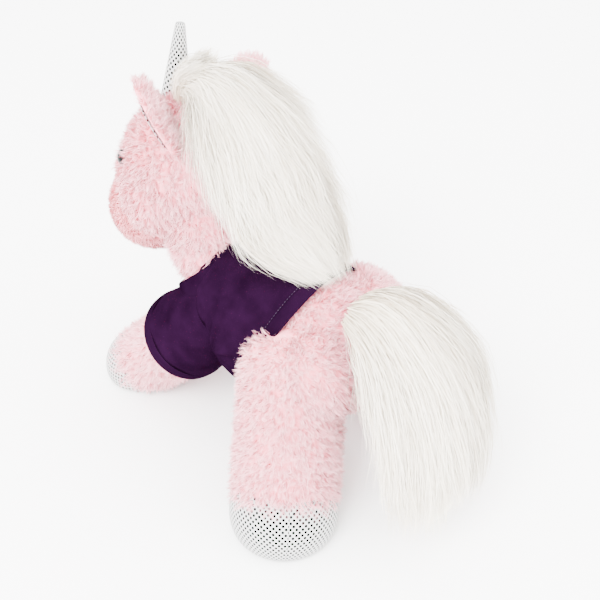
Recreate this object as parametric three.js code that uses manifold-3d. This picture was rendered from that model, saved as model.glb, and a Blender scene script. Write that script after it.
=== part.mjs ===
// Plush unicorn in a T-shirt: a stuffed toy about 400 mm high that stands on four padded legs.
// Millimetres. +Z is up, the toy faces -Y and its left side is +X. The origin is on the floor, under the
// middle of the toy's box.
import * as THREE from "three";
import { ConvexGeometry } from "three/addons/geometries/ConvexGeometry.js";
import { mergeVertices } from "three/addons/utils/BufferGeometryUtils.js";
import Module from "manifold-3d";

const wasm = await Module();
wasm.setup();

// ---- Driving dimensions ----

const SKIN = 3; // plush fabric with its pile pressed flat
const FOIL = 2; // foil fabric of the hooves, the horn and the ear linings
const CLOTH = 1.6; // jersey of the shirt
const GAP = 0.4; // between two pieces that touch
const SWING_GAP = 2.4; // between two pieces that move past each other

const SIDES = 10; // facets round a limb
const FAR = 700; // bigger than the toy, for cutting boxes

const TORSO = { rump: [0, 84, 108], chest: [0, -106, 128], radius: 62 };

// hip and shoulder balls stand clear of the middle by more than their own radius, so that they never meet
const HIND_LEG = { ball: 38, radius: 43, hoof: 46, hoofHeight: 40, clear: 8, hip: [30, 120], sole: [108, 70], swing: 20 };
const FRONT_LEG = { ball: 26, radius: 33, hoof: 35, hoofHeight: 28, clear: 9, hip: [-70, 114], sole: [46, -175], swing: 20 };

const NECK = { base: [0, -70, 144], top: [0, -104, 178], radius: 40, cup: 34, turn: 20 };
const HEAD = { yaw: -6, roll: -10, pitch: 12, nodUp: 6, nodDown: 15 };
const CRANIUM = { centre: [0, -8, 59], radii: [60, 60, 58] };
const MUZZLE = { centre: [0, -62, 17], radii: [45, 54, 44], tilt: 40 };
const FACE_PLANE = { at: [0, -50, 29], normal: [0, -0.9, -0.44] }; // seam between the face and the head

const EAR = { base: [42, 16, 84], height: 60, width: 46, thickness: 12, lean: 34, facing: 45, rim: 5, swing: 15 };
const EYE = { at: [38, -44, 65], radius: 7.5, dome: 4.5, shank: 2, shankLength: 14, washer: 8, washerThickness: 2, sunk: 3.4 };
const HORN = { base: [0, -32, 107], length: 74, radius: 15, lean: -12 };
const NOSTRIL = { out: 15, drop: -4, length: 11, thickness: 2.4 };
const MOUTH = { half: 16, drop: -26, thickness: 2.4 };

const COLLAR = { from: 0.4, to: 0.9 }; // shares of the neck's length between the neckband's edges
const SHIRT = { hemTilt: 22, hemWidth: 10, sideSeam: 122 };
const SLEEVE = { length: 0.36, cuffWidth: 8, slack: 4 }; // length is a share of the leg's

const FORELOCK = {
  path: [[-6, -158, 274], [-7, -156, 300], [-8, -142, 324], [-10, -124, 334]],
  widths: [16, 26, 24, 8], depths: [8, 12, 13, 6],
};
const MANE = {
  path: [[-9, -132, 326], [-12, -104, 324], [-16, -74, 298], [-18, -50, 254], [-18, -36, 228]],
  widths: [26, 44, 56, 58, 46], depths: [22, 34, 38, 34, 18],
};
const DRAPE = { path: [[-16, -32, 232], [-13, -4, 208], [-11, 28, 190]], widths: [40, 50, 24], depths: [16, 18, 6] };
const TAIL = {
  root: [0, 62, 146], ball: 12, neck: 9, tab: 34, lift: 40,
  path: [[0, 74, 162], [1, 104, 162], [8, 140, 118], [22, 168, 60], [34, 184, 12]],
  widths: [20, 46, 62, 56, 34], depths: [14, 26, 30, 26, 12],
};

// ---- Solids from three.js shapes ----

const vec = (p) => new THREE.Vector3(...p);
const rad = THREE.MathUtils.degToRad;
const X_AXIS = new THREE.Vector3(1, 0, 0);

/** A geometry with its seam and its poles welded, before it is stretched or placed. */
function weld(geometry, tolerance = 1e-4) {
  const bare = geometry.clone();
  bare.deleteAttribute("normal");
  bare.deleteAttribute("uv");
  return mergeVertices(bare, tolerance);
}

/** A closed three.js geometry as a manifold solid with its faces out. */
function solidOf(geometry) {
  const merged = weld(geometry, 1e-7);
  const corners = Array.from(merged.index.array);
  const points = merged.attributes.position.array;
  const triangles = [];
  for (let i = 0; i < corners.length; i += 3) {
    const [a, b, c] = corners.slice(i, i + 3);
    if (a !== b && b !== c && a !== c) triangles.push(a, b, c);
  }
  const make = (list) =>
    new wasm.Manifold(new wasm.Mesh({ numProp: 3, vertProperties: points, triVerts: new Uint32Array(list) }));
  const made = make(triangles);
  return made.volume() > 0 ? made : make(triangles.reverse());
}

/** A solid as a three.js geometry. */
function geometryOf(solid) {
  const mesh = solid.getMesh();
  const points = new Float32Array(mesh.numVert * 3);
  for (let i = 0; i < mesh.numVert; i++) {
    points.set(mesh.vertProperties.subarray(i * mesh.numProp, i * mesh.numProp + 3), i * 3);
  }
  const geometry = new THREE.BufferGeometry();
  geometry.setAttribute("position", new THREE.BufferAttribute(points, 3));
  geometry.setIndex(new THREE.BufferAttribute(mesh.triVerts, 1));
  geometry.computeVertexNormals();
  return geometry;
}

const join = (solids) => solids.reduce((whole, next) => whole.add(next));
const cut = (solid, tools) => tools.reduce((left, tool) => left.subtract(tool), solid);

/** The largest body of a solid, without the slivers that a cut can leave. */
const largest = (solid) =>
  solid.decompose().reduce((best, body) => (body.volume() > best.volume() ? body : best));

/** A ball stretched to three radii, turned by Euler degrees and placed. */
function ellipsoid(radii, centre, turn = [0, 0, 0], sides = 12) {
  const geometry = weld(new THREE.SphereGeometry(1, sides, Math.round(sides * 0.6)));
  const place = new THREE.Matrix4().compose(
    vec(centre),
    new THREE.Quaternion().setFromEuler(new THREE.Euler(...turn.map(rad))),
    vec(radii),
  );
  return solidOf(geometry.applyMatrix4(place));
}

/** Turns local +Y onto a direction and moves the origin to a point. */
function alongAxis(point, direction) {
  const turn = new THREE.Quaternion().setFromUnitVectors(new THREE.Vector3(0, 1, 0), direction.clone().normalize());
  return new THREE.Matrix4().compose(point, turn, new THREE.Vector3(1, 1, 1));
}

/** A round body about an axis: stations are [distance, radius] and both ends lie on the axis. */
function turned(stations, origin, direction, inset = 0, sides = SIDES) {
  const middle = (stations[0][0] + stations[stations.length - 1][0]) / 2;
  const half = middle - stations[0][0];
  const profile = stations.map(([s, r]) => {
    const along = middle + (s - middle) * ((half - inset) / half);
    return new THREE.Vector2(r === 0 ? 0 : Math.max(r - inset, 0.5), along);
  });
  return solidOf(weld(new THREE.LatheGeometry(profile, sides)).applyMatrix4(alongAxis(vec(origin), direction)));
}

/** A soft body along a curve, with its width and depth given at even steps and its ends rounded. */
function lock(points, widths, depths, sideways, inset = 0, sides = 10, rings = 10) {
  const curve = new THREE.CatmullRomCurve3(points.map(vec));
  const geometry = weld(new THREE.SphereGeometry(1, sides, rings));
  const spots = geometry.attributes.position;
  const at = (list, t) => {
    const place = Math.min(t, 0.9999) * (list.length - 1);
    const low = Math.floor(place);
    return list[low] + (list[low + 1] - list[low]) * (place - low);
  };
  for (let i = 0; i < spots.count; i++) {
    const t = Math.min(Math.max((1 - spots.getY(i)) / 2, 0), 1);
    const ring = Math.hypot(spots.getX(i), spots.getZ(i)) || 1;
    const round = (1 - Math.abs(2 * t - 1) ** 3) ** (1 / 3);
    const tangent = curve.getTangent(t);
    const side = vec(sideways).addScaledVector(tangent, -vec(sideways).dot(tangent)).normalize();
    const out = tangent.clone().cross(side);
    const point = curve
      .getPoint(t)
      .addScaledVector(side, (spots.getX(i) / ring) * round * Math.max(at(widths, t) - inset, 1))
      .addScaledVector(out, (spots.getZ(i) / ring) * round * Math.max(at(depths, t) - inset, 1));
    spots.setXYZ(i, point.x, point.y, point.z);
  }
  return solidOf(geometry);
}

/** Everything past a plane, as one large box: the plane's normal points into the box. */
function beyond(point, normal) {
  const geometry = weld(new THREE.BoxGeometry(FAR, FAR, FAR)).translate(0, FAR / 2, 0);
  return solidOf(geometry.applyMatrix4(alongAxis(vec(point), vec(normal))));
}

/** A solid turned about an axis through a pivot. */
function spun(solid, pivot, axis, degrees) {
  const turn = new THREE.Matrix4().makeRotationAxis(axis.clone().normalize(), rad(degrees));
  return solid.translate(pivot.map((v) => -v)).transform(turn.elements).translate(pivot);
}

/** A solid at even steps of its turn from one angle to another. */
function turns(solid, pivot, axis, from, to, steps) {
  const list = [];
  for (let i = 0; i <= steps; i++) list.push(spun(solid, pivot, axis, from + ((to - from) * i) / steps));
  return list;
}

/** A convex solid round all the places that the given solids take. */
function roomAround(solids) {
  const points = [];
  for (const solid of solids) {
    const mesh = solid.getMesh();
    for (let i = 0; i < mesh.numVert; i++) {
      points.push(new THREE.Vector3(...mesh.vertProperties.subarray(i * mesh.numProp, i * mesh.numProp + 3)));
    }
  }
  return solidOf(new ConvexGeometry(points));
}

// ---- Materials and the assembly ----

const matter = (color, roughness = 0.9, metalness = 0) =>
  new THREE.MeshStandardMaterial({ color, roughness, metalness });
const PINK = matter(0xf9d3da);
const FACE_PINK = matter(0xf6c9d0);
const WHITE = matter(0xf2f0ea);
const SILVER = matter(0xd9dbdc, 0.35, 0.6);
const PURPLE = matter(0x4b2a5c, 0.85);
const STUFFING = matter(0xfafafa);
const BLACK = matter(0x141214, 0.15);
const CLEAR = matter(0xe8e8e8, 0.5);
const THREAD = matter(0xd98f9c, 0.7);

const toy = new THREE.Group();
toy.name = "plush_unicorn";

function place(name, solid, material, smoothing = 0.15) {
  const mesh = new THREE.Mesh(geometryOf(largest(solid.simplify(smoothing))), material);
  mesh.name = name;
  toy.add(mesh);
}

const mirrored = (p, side) => [p[0] * side, p[1], p[2]];
const BOTH = [["left", 1], ["right", -1]];
const below = (height) => beyond([0, 0, height], [0, 0, -1]);

// ---- The shapes that the pieces are cut from ----

const ballStations = (radius) => {
  const list = [[-radius, 0]];
  for (const angle of [28, 54, 78]) list.push([-radius * Math.cos(rad(angle)), radius * Math.sin(rad(angle))]);
  return list;
};

const torsoAxis = vec(TORSO.chest).sub(vec(TORSO.rump));
const torsoLength = torsoAxis.length();
const torsoStations = [
  [0, 0], [0.02, 0.4], [0.08, 0.72], [0.2, 0.95], [0.38, 1], [0.6, 0.99], [0.78, 0.92], [0.91, 0.68], [0.98, 0.36], [1, 0],
].map(([s, r]) => [s * torsoLength, r * TORSO.radius]);
const torsoShape = (inset = 0) => turned(torsoStations, TORSO.rump, torsoAxis, inset, 14);

/** A leg's axis and its profile from the ball inside the body to past the floor. */
function legShape(leg, side) {
  const hip = [(leg.ball + leg.clear) * side, ...leg.hip];
  const sole = [leg.sole[0] * side, leg.sole[1], 0];
  const axis = vec(sole).sub(vec(hip));
  const length = axis.length();
  const stations = [
    ...ballStations(leg.ball),
    [length * 0.15, (leg.ball + leg.radius) / 2],
    [length * 0.4, leg.radius],
    [length - leg.hoofHeight, leg.radius],
    [length - leg.hoofHeight * 0.6, leg.hoof],
    [length - leg.hoofHeight * 0.1, leg.hoof],
    [length + leg.hoof * 0.25, leg.hoof * 0.85],
    [length + leg.hoof * 0.5, leg.hoof * 0.5],
    [length + leg.hoof * 0.62, 0],
  ];
  const shape = (inset = 0, sides = SIDES) => turned(stations, hip, axis, inset, sides);
  const along = (distance) => vec(hip).addScaledVector(axis, distance / length).toArray();
  const sweep = roomAround(turns(shape(-SWING_GAP, 12), hip, X_AXIS, -leg.swing, leg.swing, 4));
  return { leg, hip, sole, axis, length, stations, shape, along, sweep };
}

const legs = {};
for (const [word, side] of BOTH) {
  legs[`hind_${word}`] = legShape(HIND_LEG, side);
  legs[`front_${word}`] = legShape(FRONT_LEG, side);
}

// The neck is round about its own axis, so that it can turn; its lower end is a dome inside the torso, and
// its upper end is a cup for the round underside of the head.
const neckAxis = vec(NECK.top).sub(vec(NECK.base));
const neckLength = neckAxis.length();
const neckStations = [[0, 0], [0.13, 0.55], [0.34, 0.85], [0.56, 1], [0.85, 0.98], [1.05, 0.86], [1.15, 0]].map(
  ([s, r]) => [s * neckLength, r * NECK.radius],
);
const neckShape = (inset = 0, sides = SIDES) => turned(neckStations, NECK.base, neckAxis, inset, sides);
const onNeck = (share) => vec(NECK.base).addScaledVector(neckAxis, share).toArray();

// The head's own frame has its origin at the nod pivot at the top of the neck.
const headEuler = new THREE.Euler(rad(HEAD.pitch), rad(HEAD.roll), rad(HEAD.yaw), "ZYX");
const headTurn = new THREE.Quaternion().setFromEuler(headEuler);
const headPlace = new THREE.Matrix4().compose(vec(NECK.top), headTurn, new THREE.Vector3(1, 1, 1));
const inHead = (solid) => solid.transform(headPlace.elements);
const headPoint = (p) => vec(p).applyMatrix4(headPlace).toArray();
const headDirection = (p) => vec(p).applyQuaternion(headTurn).toArray();
const nodAxis = vec(headDirection([1, 0, 0]));
const headShape = (inset = 0, sides = 12) =>
  inHead(
    join([
      ellipsoid(CRANIUM.radii.map((r) => r - inset), CRANIUM.centre, [0, 0, 0], sides),
      ellipsoid(MUZZLE.radii.map((r) => r - inset), MUZZLE.centre, [MUZZLE.tilt, 0, 0], sides),
      ellipsoid([1, 1, 1].map(() => NECK.cup - inset), [0, 0, 0], [0, 0, 0], sides),
    ]),
  );

/** Where a line out of the head's middle, given by its sideways and upward offset, meets the muzzle. */
function onMuzzle(out, up) {
  const turn = new THREE.Quaternion().setFromEuler(new THREE.Euler(rad(MUZZLE.tilt), 0, 0));
  const [rx, ry, rz] = MUZZLE.radii;
  const local = new THREE.Vector3(out / rx, 0, up / rz);
  local.y = -Math.sqrt(Math.max(1 - local.x ** 2 - local.z ** 2, 0));
  return new THREE.Vector3(local.x * rx, local.y * ry, local.z * rz).applyQuaternion(turn).add(vec(MUZZLE.centre));
}

// ---- Legs with hooves ----

for (const [name, { leg, axis, length, shape, along }] of Object.entries(legs)) {
  const direction = axis.toArray();
  const crown = length - leg.hoofHeight;
  const whole = shape().subtract(below(0));
  place(`${name}_leg_skin`, cut(whole, [shape(SKIN), beyond(along(crown), direction), below(FOIL + GAP)]), PINK);
  place(`${name}_leg_fill`, shape(SKIN + GAP).subtract(below(FOIL + GAP)), STUFFING);
  const wall = whole.intersect(beyond(along(crown + GAP), direction)).subtract(below(FOIL + GAP));
  place(`${name}_hoof_wall`, wall.subtract(shape(FOIL)), SILVER);
  place(`${name}_hoof_sole`, whole.intersect(below(FOIL)), SILVER);
}

// ---- Torso and neck ----

const legSweeps = Object.values(legs).map((l) => l.sweep);
const tailAway = vec(TAIL.path[1]).sub(vec(TAIL.root));
const tabShape = (grow = 0) =>
  turned([...ballStations(TAIL.ball), [TAIL.ball * 1.1, TAIL.neck], [TAIL.tab, TAIL.neck * 0.7], [TAIL.tab + 2, 0]],
    TAIL.root, tailAway, -grow, 12);
// the tail's socket widens outwards, as far as the tail lifts
const tailMiddle = tailAway.clone().applyAxisAngle(X_AXIS, rad(TAIL.lift / 2));
const tailMouth = TAIL.ball + SWING_GAP + TAIL.tab * Math.tan(rad(TAIL.lift / 2));
const tailHole = turned(
  [...ballStations(TAIL.ball + SWING_GAP), [TAIL.tab * 1.4, tailMouth], [TAIL.tab * 1.4 + 1, 0]],
  TAIL.root, tailMiddle, 0, 12,
);
const nodRoom = join(turns(headShape(-SWING_GAP, 12), NECK.top, nodAxis, -HEAD.nodUp, HEAD.nodDown, 2));
const headRoom = ellipsoid([1, 1, 1].map(() => NECK.cup + SWING_GAP), NECK.top, [0, 0, 0], 12);
const sockets = [...legSweeps, neckShape(-SWING_GAP), tailHole, headRoom];
place("torso_skin", cut(torsoShape(), [torsoShape(SKIN), ...sockets]), PINK);
place("torso_fill", cut(torsoShape(SKIN + GAP), sockets), STUFFING);

place("neck_skin", cut(neckShape(), [neckShape(SKIN), nodRoom]), PINK);
place("neck_fill", cut(neckShape(SKIN + GAP), [nodRoom]), STUFFING);

// ---- Head ----

const faceAt = vec(FACE_PLANE.at);
const faceNormal = vec(FACE_PLANE.normal).normalize();
const faceFront = beyond(headPoint(FACE_PLANE.at), headDirection(FACE_PLANE.normal));
const faceBack = beyond(
  headPoint(faceAt.clone().addScaledVector(faceNormal, -GAP).toArray()),
  headDirection(FACE_PLANE.normal.map((v) => -v)),
);
const eyes = BOTH.map(([word, side]) => {
  const centre = vec(mirrored(EYE.at, side));
  const out = centre.clone().sub(vec(CRANIUM.centre)).normalize();
  const spot = vec(CRANIUM.centre).addScaledVector(out, CRANIUM.radii[0]).toArray();
  return { word, out, spot };
});
const shankHoles = eyes.map(({ out, spot }) =>
  inHead(turned([[-EYE.shankLength - 3, 0], [-EYE.shankLength - 3, EYE.shank + GAP], [2, EYE.shank + GAP], [2, 0]],
    spot, out, 0, 8)));
const washerPlaces = eyes.map(({ out, spot }) => {
  const from = -SKIN - EYE.sunk - EYE.washerThickness;
  return inHead(turned([[from - GAP, 0], [from - GAP, EYE.washer + GAP], [2 - SKIN, EYE.washer + GAP], [2 - SKIN, 0]],
    spot, out, 0, 10));
});
const skull = headShape();
const headShell = cut(skull, [headShape(SKIN)]);
place("head_skin", cut(headShell.intersect(faceBack), shankHoles), PINK);
place("face_skin", headShell.intersect(faceFront), FACE_PINK);
place("head_fill", cut(headShape(SKIN + GAP), [...shankHoles, ...washerPlaces]), STUFFING);
for (const { word, out, spot } of eyes) {
  const flat = [[-EYE.shankLength, 0], [-EYE.shankLength, EYE.shank], [GAP, EYE.shank], [GAP, EYE.radius],
    [EYE.dome * 0.5, EYE.radius * 0.86], [EYE.dome, 0]];
  place(`eye_${word}`, inHead(turned(flat, spot, out, 0, 10)), BLACK);
  const from = -SKIN - EYE.sunk - EYE.washerThickness;
  const inner = EYE.shank + GAP;
  const ring = weld(new THREE.LatheGeometry(
    [[inner, from], [EYE.washer, from], [EYE.washer, from + EYE.washerThickness], [inner, from + EYE.washerThickness],
      [inner, from]].map(([r, s]) => new THREE.Vector2(r, s)), 12));
  place(`eye_washer_${word}`, inHead(solidOf(ring.applyMatrix4(alongAxis(vec(spot), out)))), CLEAR);
}

const muzzleMiddle = vec(MUZZLE.centre);
for (const [word, side] of BOTH) {
  // a nostril is a short stroke of satin stitch that lies on the front of the muzzle
  const strokes = [-0.5, 0, 0.5].map((share) =>
    onMuzzle((NOSTRIL.out + share * NOSTRIL.length * 0.35) * side, NOSTRIL.drop + share * NOSTRIL.length));
  const out = strokes[1].clone().sub(muzzleMiddle).normalize();
  const points = strokes.map((p) => p.addScaledVector(out, NOSTRIL.thickness * 0.2).toArray());
  const t = NOSTRIL.thickness;
  const stroke = lock(points, [t, t, t], [t, t, t], out.toArray(), 0, 8, 6);
  place(`nostril_${word}`, cut(inHead(stroke), [headShape(-GAP)]), THREAD);
}
const smile = [-1, -0.5, 0, 0.5, 1].map((share) => {
  const spot = onMuzzle(MOUTH.half * share, MOUTH.drop + 5 * share * share);
  return spot.addScaledVector(spot.clone().sub(muzzleMiddle).normalize(), MOUTH.thickness * 0.2).toArray();
});
const thread = [1, 1, 1, 1, 1].map(() => MOUTH.thickness);
place("mouth", cut(inHead(lock(smile, thread, thread, [0, -1, 0], 0, 8, 12)), [headShape(-GAP)]), THREAD);

const hornAxis = new THREE.Vector3(0, -Math.sin(rad(HORN.lean)), Math.cos(rad(HORN.lean)));
const hornStations = [
  [-9, 0], [-8, 1], [HORN.length * 0.3, 0.86], [HORN.length * 0.65, 0.62], [HORN.length * 0.92, 0.36], [HORN.length, 0],
].map(([s, r]) => [s, r * HORN.radius]);
const hornShape = (inset = 0) => inHead(turned(hornStations, HORN.base, hornAxis, inset, 12));
place("horn_skin", cut(hornShape(), [hornShape(FOIL), headShape(-GAP)]), SILVER);
place("horn_fill", cut(hornShape(FOIL + GAP), [headShape(-GAP)]), STUFFING);

// An ear is a flat leaf: its width runs outwards and back, and its lined face looks forwards and outwards.
const ears = BOTH.map(([word, side]) => {
  const lean = rad(EAR.lean);
  const facing = rad(EAR.facing);
  const across = new THREE.Vector3(Math.cos(facing) * side, Math.sin(facing), 0);
  const up = new THREE.Vector3(Math.sin(lean) * side, 0, Math.cos(lean));
  up.addScaledVector(across, -up.dot(across)).normalize();
  const front = new THREE.Vector3(Math.sin(facing) * side, -Math.cos(facing), 0);
  front.addScaledVector(up, -front.dot(up)).normalize();
  const root = vec(mirrored(EAR.base, side));
  const on = (d, ahead = 0) => root.clone().addScaledVector(up, d).addScaledVector(front, ahead).toArray();
  const leaf = (inset, depth) =>
    inHead(lock([on(inset), on(EAR.height * 0.35), on(EAR.height * 0.7), on(EAR.height - inset)],
      [0.36, 0.5, 0.42, 0.14].map((v) => v * EAR.width - inset), [0.4, 0.5, 0.5, 0.3].map((v) => v * depth),
      across.toArray(), 0, 10, 7));
  const frontOf = (ahead) => beyond(headPoint(on(0, ahead)), headDirection(front.toArray()));
  return { word, root, across, leaf, frontOf };
});
for (const { word, leaf, frontOf } of ears) {
  const pocket = leaf(EAR.rim - GAP, EAR.thickness * 1.2).intersect(frontOf(EAR.thickness / 2 - FOIL - 2 * GAP));
  const lining = leaf(EAR.rim, EAR.thickness).intersect(frontOf(EAR.thickness / 2 - FOIL - GAP));
  place(`ear_${word}_back`, cut(leaf(0, EAR.thickness), [pocket, headShape(-SWING_GAP)]), PINK);
  place(`ear_${word}_lining`, cut(lining, [headShape(-SWING_GAP)]), SILVER);
}

// ---- Shirt ----

const jersey = torsoShape(-GAP - CLOTH).subtract(torsoShape(-GAP));
const hemMiddle = [0, HIND_LEG.hip[0] - HIND_LEG.ball - SWING_GAP - 1, HIND_LEG.hip[1]];
const hemNormal = [0, Math.cos(rad(SHIRT.hemTilt)), -Math.sin(rad(SHIRT.hemTilt))];
const behindHem = (ahead) =>
  beyond(vec(hemMiddle).addScaledVector(vec(hemNormal), -ahead).toArray(), hemNormal);
const beforeHem = (ahead) =>
  beyond(vec(hemMiddle).addScaledVector(vec(hemNormal), -ahead).toArray(), hemNormal.map((v) => -v));
const shirtHoles = [...legSweeps, neckShape(-SWING_GAP - CLOTH - GAP), headRoom];
const panels = cut(jersey, [...shirtHoles, behindHem(SHIRT.hemWidth + GAP)]);
place("shirt_back", panels.intersect(beyond([0, 0, SHIRT.sideSeam + GAP], [0, 0, 1])), PURPLE);
place("shirt_front", panels.intersect(below(SHIRT.sideSeam)), PURPLE);
place("shirt_hem", cut(jersey, [...shirtHoles, behindHem(0), beforeHem(SHIRT.hemWidth)]), PURPLE);
const band = neckShape(-SWING_GAP - CLOTH).subtract(neckShape(-SWING_GAP));
const bandEnds = [beyond(onNeck(COLLAR.to), neckAxis.toArray()), beyond(onNeck(COLLAR.from), neckAxis.clone().negate().toArray())];
const headTurns = turns(nodRoom, NECK.base, neckAxis, -NECK.turn, NECK.turn, 2);
place("shirt_collar", cut(band, [...bandEnds, torsoShape(-GAP), headRoom, ...headTurns]), PURPLE);

for (const [word] of BOTH) {
  const { axis, length, shape, along } = legs[`front_${word}`];
  const direction = axis.toArray();
  const inner = -GAP - SLEEVE.slack;
  const tube = shape(inner - CLOTH).subtract(shape(inner));
  const seam = length * SLEEVE.length - SLEEVE.cuffWidth;
  const shoulder = torsoShape(-2 * GAP - CLOTH);
  place(`sleeve_${word}`, cut(tube, [shoulder, beyond(along(seam), direction)]), PURPLE);
  const cuff = tube.intersect(beyond(along(seam + GAP), direction));
  place(`sleeve_cuff_${word}`, cut(cuff, [shoulder, beyond(along(length * SLEEVE.length), direction)]), PURPLE);
}

// ---- Long hair: forelock, mane and tail ----

const hair = ({ path, widths, depths }) => lock(path, widths, depths, [1, 0, 0], 0, 10, 12);
const forelock = cut(hair(FORELOCK), [headShape(-GAP), hornShape(-GAP)]);
place("forelock", forelock, WHITE);
const earRoom = ears.map(({ word, root, across, leaf }) =>
  roomAround(turns(leaf(-SWING_GAP, EAR.thickness + 2 * SWING_GAP), headPoint(root.toArray()),
    vec(headDirection(across.toArray())), -EAR.swing, EAR.swing, 2)));
const hairApart = hair({ ...FORELOCK, widths: FORELOCK.widths.map((v) => v + 1), depths: FORELOCK.depths.map((v) => v + 1) });
const mane = cut(hair(MANE), [headShape(-GAP), hornShape(-GAP), hairApart, ...earRoom]);
place("mane", mane, WHITE);
const maneApart = hair({ ...MANE, widths: MANE.widths.map((v) => v + 1), depths: MANE.depths.map((v) => v + 1) });
const drape = cut(hair(DRAPE), [maneApart, nodRoom, neckShape(-GAP), torsoShape(-3 * GAP - CLOTH), neckShape(-SWING_GAP - CLOTH - GAP)]);
place("mane_drape", drape, WHITE);

place("tail_tab", tabShape(), PINK);
place("tail_hair", cut(hair(TAIL), [tabShape(GAP), torsoShape(-SWING_GAP), ...legSweeps, below(1)]), WHITE);

// ---- The toy stands on the floor with the middle of its box over the origin ----

const box = new THREE.Box3().setFromObject(toy);
const middle = box.getCenter(new THREE.Vector3());
toy.position.set(-middle.x, -middle.y, -box.min.z);
toy.userData.joints = {
  offset: toy.position.toArray(),
  neck: [NECK.base, neckAxis.toArray()], nod: [NECK.top, nodAxis.toArray()], tail: TAIL.root,
  legs: Object.fromEntries(Object.entries(legs).map(([n, l]) => [n, l.hip])),
  ears: ears.map(({ word, root, across }) => [word, headPoint(root.toArray()), headDirection(across.toArray())]),
};

export default toy;
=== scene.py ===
# %% [markdown]
# # A plush unicorn in a T-shirt
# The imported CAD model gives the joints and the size. Here every soft piece is made again with its real
# surface: plush with its pile, long faux hair, foil-dotted cloth and knitted jersey.

# %% Start and load the frame
import math

import bpy
import numpy as np
from mathutils import Euler, Matrix, Vector
from mathutils.bvhtree import BVHTree


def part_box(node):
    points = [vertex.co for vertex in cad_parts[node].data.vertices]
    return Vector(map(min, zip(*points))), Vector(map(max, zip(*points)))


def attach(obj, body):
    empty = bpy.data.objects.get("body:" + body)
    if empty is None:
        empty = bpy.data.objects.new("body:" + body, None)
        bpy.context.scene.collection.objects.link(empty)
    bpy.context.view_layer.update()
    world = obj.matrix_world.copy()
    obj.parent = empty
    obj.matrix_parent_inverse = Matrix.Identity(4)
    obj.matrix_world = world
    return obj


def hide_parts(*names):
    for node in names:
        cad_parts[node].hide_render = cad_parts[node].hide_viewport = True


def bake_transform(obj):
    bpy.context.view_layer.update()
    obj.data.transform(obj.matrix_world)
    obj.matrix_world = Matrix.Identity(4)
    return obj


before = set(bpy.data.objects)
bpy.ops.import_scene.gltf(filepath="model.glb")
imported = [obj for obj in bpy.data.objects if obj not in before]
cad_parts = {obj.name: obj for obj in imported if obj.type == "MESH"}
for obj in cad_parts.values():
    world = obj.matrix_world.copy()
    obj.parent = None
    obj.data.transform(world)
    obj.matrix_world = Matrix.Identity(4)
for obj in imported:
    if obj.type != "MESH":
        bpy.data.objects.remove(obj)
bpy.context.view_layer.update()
MM = 0.001

# %% [markdown]
# The frame's own numbers come first, in millimetres. They are the centres that the joints turn about, so
# that each soft piece sits where its joint expects it.

# %% Sizes
BACK = 12.0  # the model's origin is this far in front of the hips' own zero
HEAD_PIVOT = (0, -104 + BACK, 178)
HEAD_TURN = Euler((math.radians(12), math.radians(-10), math.radians(-6)), "XYZ")
PILE = 8.5  # length of the pink plush pile
LEGS = {
    "hind_left": dict(hip=(46, 30, 120), sole=(108, 70, 0), ball=40, radius=42, hoof=46, crown=42),
    "front_left": dict(hip=(35, -70, 114), sole=(46, -175, 0), ball=30, radius=31, hoof=35, crown=30),
}
for name in ("hind", "front"):
    twin = dict(LEGS[name + "_left"])
    twin["hip"] = (-twin["hip"][0], *twin["hip"][1:])
    twin["sole"] = (-twin["sole"][0], *twin["sole"][1:])
    LEGS[name + "_right"] = twin


def at(p):
    """A point of the toy in millimetres as a vector in metres, in the frame."""
    return Vector((p[0], p[1] + BACK, p[2])) * MM


HEAD = Matrix.Translation(Vector(HEAD_PIVOT) * MM) @ HEAD_TURN.to_matrix().to_4x4()


def on_head(p):
    """A point of the head's own frame in millimetres as a vector in metres, in the frame."""
    return HEAD @ (Vector(p) * MM)


# %% [markdown]
# Colours are given as the hex numbers a designer would use, and turned to the linear values that the
# shader needs.

# %% Material helpers
def linear(code, alpha=1.0):
    """An sRGB hex colour as linear red, green, blue and alpha."""
    parts = [int(code[i : i + 2], 16) / 255 for i in (1, 3, 5)]
    return tuple(c / 12.92 if c <= 0.04045 else ((c + 0.055) / 1.055) ** 2.4 for c in parts) + (alpha,)


def node(tree, kind, links=None, **settings):
    """Adds a node, sets its inputs or properties by name and links other nodes' outputs into it."""
    made = tree.nodes.new(kind)
    for key, value in settings.items():
        if key in made.inputs:
            made.inputs[key].default_value = value
        else:
            setattr(made, key, value)
    for key, output in (links or {}).items():
        tree.links.new(output, made.inputs[key])
    return made


def material(name, colour, roughness, **more):
    """A principled material; returns it with its tree and its shader."""
    m = bpy.data.materials.new(name)
    m.use_nodes = True
    shader = m.node_tree.nodes["Principled BSDF"]
    shader.inputs["Base Color"].default_value = linear(colour)
    shader.inputs["Roughness"].default_value = roughness
    for key, value in more.items():
        shader.inputs[key.replace("_", " ")].default_value = value
    return m, m.node_tree, shader


def ramp(tree, factor, stops):
    """A colour ramp through (position, hex) stops, driven by a value."""
    r = node(tree, "ShaderNodeValToRGB", {"Fac": factor})
    band = r.color_ramp
    while len(band.elements) < len(stops):
        band.elements.new(0.5)
    for element, (place, code) in zip(band.elements, stops):
        element.position = place
        element.color = linear(code)
    return r.outputs["Color"]


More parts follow.
